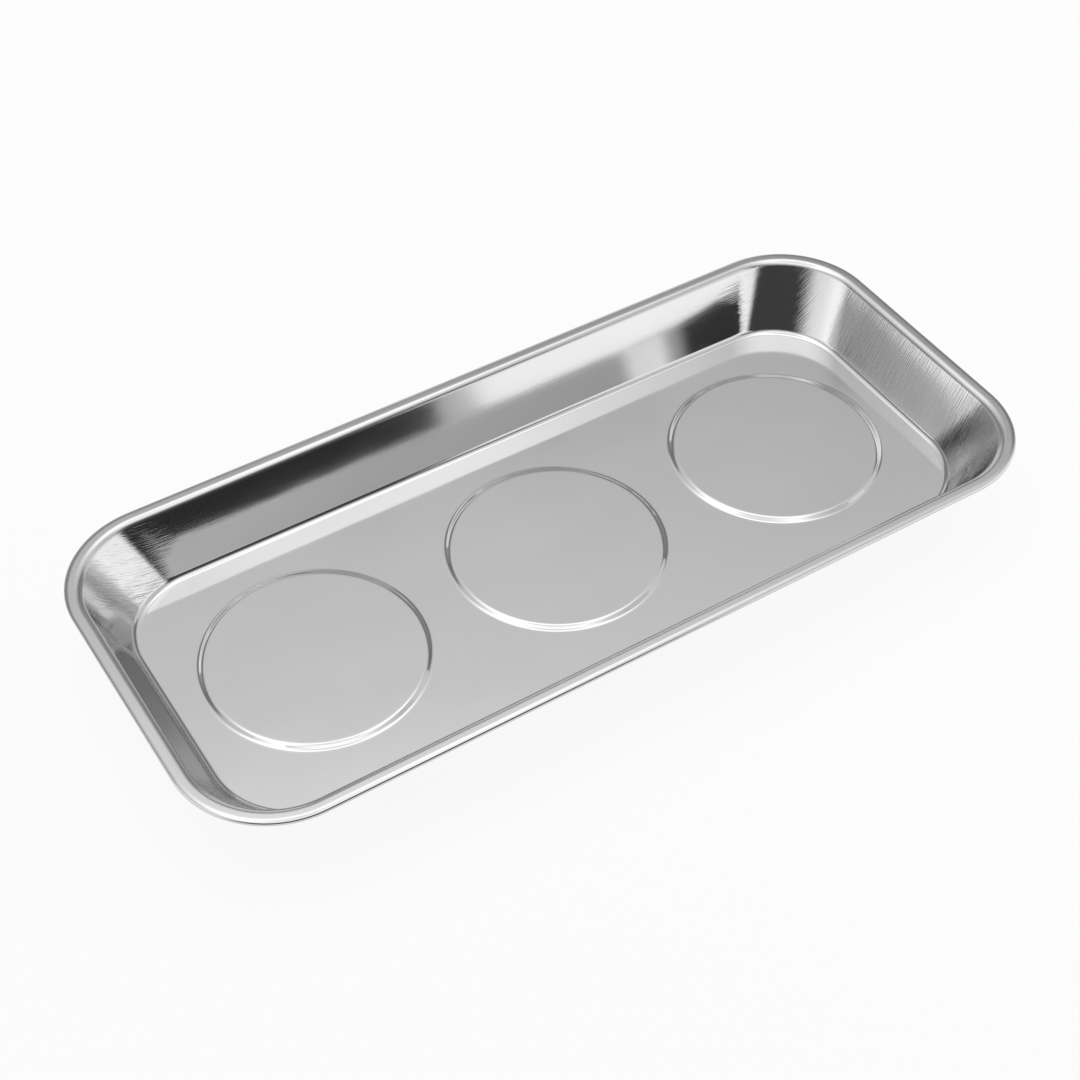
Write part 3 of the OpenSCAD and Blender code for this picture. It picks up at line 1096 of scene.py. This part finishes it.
nut_low, nut_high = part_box("centre_hex_nut")
nut_corner = nut_high.x
crown = CROWN_SHARE * nut_high.y
crown_edge = nut_corner + CROWN_REACH
crown_drop = (crown_edge - crown) * math.tan(NUT_CHAMFER)
turned = draw_section("turned", [
    (0, nut_low.z), (crown, nut_low.z), (crown_edge, nut_low.z + crown_drop),
    (crown_edge, nut_high.z - crown_drop), (crown, nut_high.z), (0, nut_high.z)])
spin_section(CROWN_STEPS)
sink_low = nut_low.z - SINK_REACH
sink_high = nut_high.z + SINK_REACH
drill = draw_section("drill", [
    (0, sink_low), (NUT_BORE + SINK_WIDTH, sink_low), (NUT_BORE, nut_low.z + SINK_DEPTH),
    (NUT_BORE, nut_high.z - SINK_DEPTH), (NUT_BORE + SINK_WIDTH, sink_high), (0, sink_high)])
spin_section(BORE_STEPS)
print("cutters:", len(turned.data.polygons), "and", len(drill.data.polygons), "faces")

# %% [markdown]
# Where a cut runs close to a corner a boolean leaves slivers, so points that almost meet are merged
# afterwards.

# %% Nut
NUT_SIDES = 6
NUT_TURN = math.radians(30)
NUT_EDGE_ROUND = 0.12 * MM
NUT_SMOOTH_ANGLE = math.radians(25)
SLIVER = 0.005 * MM

nut_height = nut_high.z - nut_low.z
deselect_all()
bpy.ops.mesh.primitive_cylinder_add(
    vertices=NUT_SIDES, radius=nut_corner, depth=nut_height, enter_editmode=True)
nut = bpy.context.object
nut.name = "nut"
turn_about_axis(NUT_TURN)
bpy.ops.transform.translate(value=(0, 0, (nut_high.z + nut_low.z) / 2))
pick("EDGE", lambda edge: abs(edge.verts[0].co.z - edge.verts[1].co.z) > nut_height / 2)
bpy.ops.mesh.bevel(offset=NUT_EDGE_ROUND, segments=FINE_STEPS, affect="EDGES")
for operation, cutter in (("INTERSECT", turned), ("DIFFERENCE", drill)):
    apply_modifier(nut, "BOOLEAN", {
        "operation": operation, "object": cutter, "solver": "EXACT"})
    bpy.data.objects.remove(cutter)
edit(nut)
bpy.ops.mesh.select_all(action="SELECT")
bpy.ops.mesh.remove_doubles(threshold=SLIVER)
bpy.ops.mesh.dissolve_degenerate(threshold=SLIVER)
open_edges = pick("EDGE", lambda edge: not edge.is_manifold)
shade(NUT_SMOOTH_ANGLE)
nut_size = [round(size / MM, 2) for size in nut.dimensions]
print("nut:", len(nut.data.polygons), "faces,", open_edges, "open edges,", nut_size, "mm")
fit_pods(nut, "nut", "hex_nut", zinc_nut, "nut_steel")

# %% [markdown]
# ## Stage
# A plain white floor and soft light from all round, as in a light tent. Polished metal shows
# whatever stands around it, so the tent is made of cards, as a product photographer hangs them: a
# bright ceiling, a light box on the left and one at the front right, a pale grey sweep on the far
# side with a dark band across it, and black cloth at the front, where the camera looks in. The
# camera doesn't see the cards.

# %% World
world = bpy.data.worlds.new("light_tent")
bpy.context.scene.world = world
world.use_nodes = True
tree = world.node_tree
tree.nodes.clear()
tent = add_node(tree, "ShaderNodeBackground", {"Color": srgb("#FFFFFF"), "Strength": 1.0})
add_node(tree, "ShaderNodeOutputWorld", None, {"Surface": tent.outputs["Background"]})
print("world nodes:", len(tree.nodes))

# %% [markdown]
# The floor is white paint. To the camera and in the steel it also glows, so that it stays white
# where the cards don't light it. Only a faint shadow is left under the tray.

# %% Floor
FLOOR_SIZE = 8.0
FLOOR_GLOW = 0.9

floor_paint = start_material("white_floor_paint")
tree = floor_paint.node_tree
path = add_node(tree, "ShaderNodeLightPath")
seen = add_node(tree, "ShaderNodeMath", {"operation": "MAXIMUM"}, {
    0: path.outputs["Is Camera Ray"], 1: path.outputs["Is Glossy Ray"]})
seen_all = add_node(tree, "ShaderNodeMath", {"operation": "MAXIMUM"}, {
    0: seen.outputs["Value"], 1: path.outputs["Is Transmission Ray"]})
glow = add_node(tree, "ShaderNodeMath", {"operation": "MULTIPLY", 1: FLOOR_GLOW}, {
    0: seen_all.outputs["Value"]})
paint = add_node(tree, "ShaderNodeBsdfDiffuse", {"Color": srgb("#F2F2F2")})
white = add_node(tree, "ShaderNodeEmission", {"Color": srgb("#FFFFFF"), "Strength": 1.0})
mixed = add_node(tree, "ShaderNodeMixShader", None, {
    0: glow.outputs["Value"], 1: paint.outputs["BSDF"], 2: white.outputs["Emission"]})
add_node(tree, "ShaderNodeOutputMaterial", None, {"Surface": mixed.outputs["Shader"]})
deselect_all()
bpy.ops.mesh.primitive_plane_add(size=FLOOR_SIZE)
floor = bpy.context.object
floor.name = "floor"
floor.data.materials.append(floor_paint)
print("floor:", [round(size, 2) for size in floor.dimensions], "m")

# %% [markdown]
# Each card is a piece of a big ball round the tray. It reaches from one angle to another, counted
# from the front over the right, and it has a strength at each of several heights, which are angles
# too. The dark band behind the tray shows in the far rim, the right rim and the left wall but not in
# the floor, so its top edge goes in steps.

# %% The cards
TENT = 2.5
CLOSE = 0.55
PALE_FOOT = ((0, 0.9), (26, 0.75))
GREY_FOOT = ((0, 0.4), (26, 0.3), (32, 0.23))
SWEEP_TOP = ((52, 0.88), (56, 1.05))
SIDE_TOP = ((45, 0.76), *SWEEP_TOP)
CARDS = (
    # name, from, to, distance in metres, then heights with the strength at each
    ("far_sweep", 167, 236, TENT, (
        (0, 0.5), (26, 0.42), (33, 0.24), (40, 0.33), (43, 0.63), (45, 0.78), *SWEEP_TOP)),
    ("far_left", 156, 167, TENT, (
        *PALE_FOOT, (33, 0.24), (42.8, 0.34), (44.8, 0.74), (47, 0.8), *SWEEP_TOP)),
    ("far_centre", 147, 156, TENT, (
        *PALE_FOOT, (33, 0.24), (41.2, 0.33), (42.8, 0.7), (45, 0.77), *SWEEP_TOP)),
    ("far_right", 142, 147, TENT, (
        *PALE_FOOT, (32, 0.23), (39.2, 0.32), (41, 0.67), *SIDE_TOP)),
    ("rear_corner", 134, 142, TENT, (*GREY_FOOT, (36.4, 0.32), (38.4, 0.66), *SIDE_TOP)),
    ("rear_gap", 98, 134, TENT, (*GREY_FOOT, (38.6, 0.32), (40.4, 0.68), *SIDE_TOP)),
    ("right_side", 78, 98, TENT, ((0, 0.8), (56, 0.9))),
    ("right_box", 25, 78, CLOSE, ((0, 1.4), (16, 1.4), (22, 1.15), (42, 1.05))),
    ("right_edge", 22, 25, CLOSE, ((0, 0.7), (42, 0.7))),
    ("right_top", 38, 78, TENT, ((34, 0.7), (56, 0.8))),
    ("front_gap", 8, 38, TENT, ((0, 0.02), (44, 0.1), (56, 0.4))),
    ("front_cloth", -62, 8, TENT, ((0, 0.06), (38, 0.07), (44, 0.2), (50, 0.5), (56, 0.7))),
    ("left_fade", -69, -62, TENT, ((0, 0.4), (34, 0.4), (40, 0.6), (56, 0.85))),
    ("left_edge", -76, -69, TENT, ((0, 1.0), (34, 0.95), (38, 0.65), (56, 0.85))),
    ("left_box", -124, -76, TENT, (
        (0, 1.5), (15, 1.45), (20, 1.15), (34, 1.1), (38, 0.65), (56, 0.9))),
    ("ceiling_front", -80, 100, TENT, (
        (56, 0.7), (66, 1.0), (72, 1.6), (77, 1.6), (81, 1.25), (90, 1.12))),
    ("ceiling_back", 100, 280, TENT, (
        (56, 1.05), (66, 1.85), (75, 1.8), (80, 1.25), (90, 1.12))),
)
print("cards:", len(CARDS))

# %% [markdown]
# A card's glow comes from a colour ramp over its height. A ramp can't go above 1, so it holds each
# strength as a share of a common top value, and the emission multiplies that back.

# %% Glow of a card
BRIGHTEST = 2.5


def card_paint(name, distance, stops):
    """A glow that follows the strengths from a card's low edge to its high edge."""
    paint = start_material(name)
    tree = paint.node_tree
    heights = [distance * math.sin(math.radians(angle)) for angle, strength in stops]
    low, high = heights[0], heights[-1]
    place = add_node(tree, "ShaderNodeTexCoord")
    height = add_node(tree, "ShaderNodeSeparateXYZ", None, {"Vector": place.outputs["Object"]})
    share = add_node(tree, "ShaderNodeMapRange", {"From Min": low, "From Max": high}, {
        "Value": height.outputs["Z"]})
    ramp = add_node(tree, "ShaderNodeValToRGB", None, {"Fac": share.outputs["Result"]})
    for z in heights[1:-1]:
        ramp.color_ramp.elements.new((z - low) / (high - low))
    for element, (angle, strength) in zip(ramp.color_ramp.elements, stops):
        element.color = [strength / BRIGHTEST] * 3 + [1]
    lit = add_node(tree, "ShaderNodeEmission", {"Strength": BRIGHTEST}, {
        "Color": ramp.outputs["Color"]})
    add_node(tree, "ShaderNodeOutputMaterial", None, {"Surface": lit.outputs["Emission"]})
    return paint


# %% [markdown]
# An upright arc is drawn on the right, turned to where the card starts and spun as far as the card
# reaches.

# %% Hang the cards
ARC_STEPS = 12
SPIN_DEGREES = 6
FEWEST_STEPS = 4
DRAWN_AT = 90


def hang_card(name, start, end, distance, stops):
    """Hangs one curved card that the camera doesn't see."""
    low, high = stops[0][0], stops[-1][0]
    climb = [math.radians(low + (high - low) * step / ARC_STEPS) for step in range(ARC_STEPS + 1)]
    card = draw_points(name, [
        (distance * math.cos(angle), distance * math.sin(angle)) for angle in climb])
    turn_about_axis(-math.radians(start - DRAWN_AT))
    bpy.ops.mesh.spin(
        steps=max(FEWEST_STEPS, (end - start) // SPIN_DEGREES),
        angle=-math.radians(end - start), center=POD_MIDDLE, axis=POD_AXIS)
    bpy.ops.object.mode_set(mode="OBJECT")
    card.data.materials.append(card_paint(name, distance, stops))
    card.visible_camera = False
    turns = [round(math.degrees(math.atan2(v.co.x, -v.co.y))) for v in card.data.vertices]
    print(name, "hangs from", start, "to", end, "with points from", min(turns), "to", max(turns))


for card in CARDS:
    hang_card(*card)
